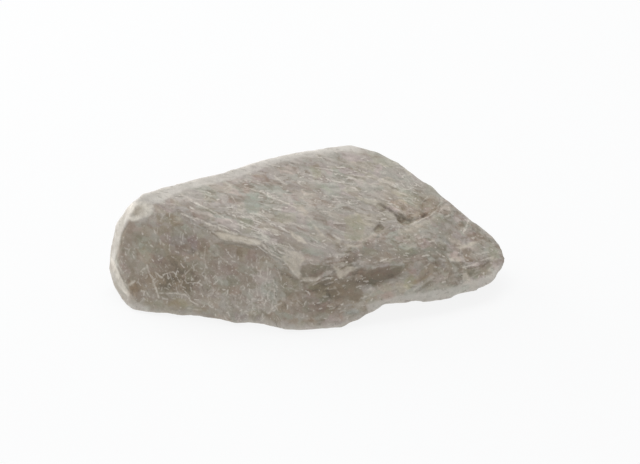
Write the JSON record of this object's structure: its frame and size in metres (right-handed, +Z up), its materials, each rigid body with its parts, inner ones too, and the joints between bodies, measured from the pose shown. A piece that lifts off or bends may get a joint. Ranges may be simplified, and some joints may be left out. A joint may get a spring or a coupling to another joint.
{
  "type": "limestone",
  "caption": "Loose smooth-worn limestone, grey-brown and striated, with flat faces, worn edges and a flat underside that it rests on.",
  "frame": {"origin": "centre of the bounding box in plan, on the plane the stone rests on", "axes": "+X along the longest side towards the pointed end, +Z up, -Y towards the tall worn front face"},
  "size_m": [0.1103, 0.0584, 0.033],
  "materials": {
    "limestone": "matte, smooth-worn, fine-grained"
  },
  "bodies": {
    "root": {"limestone": "limestone"}
  },
  "joints": []
}
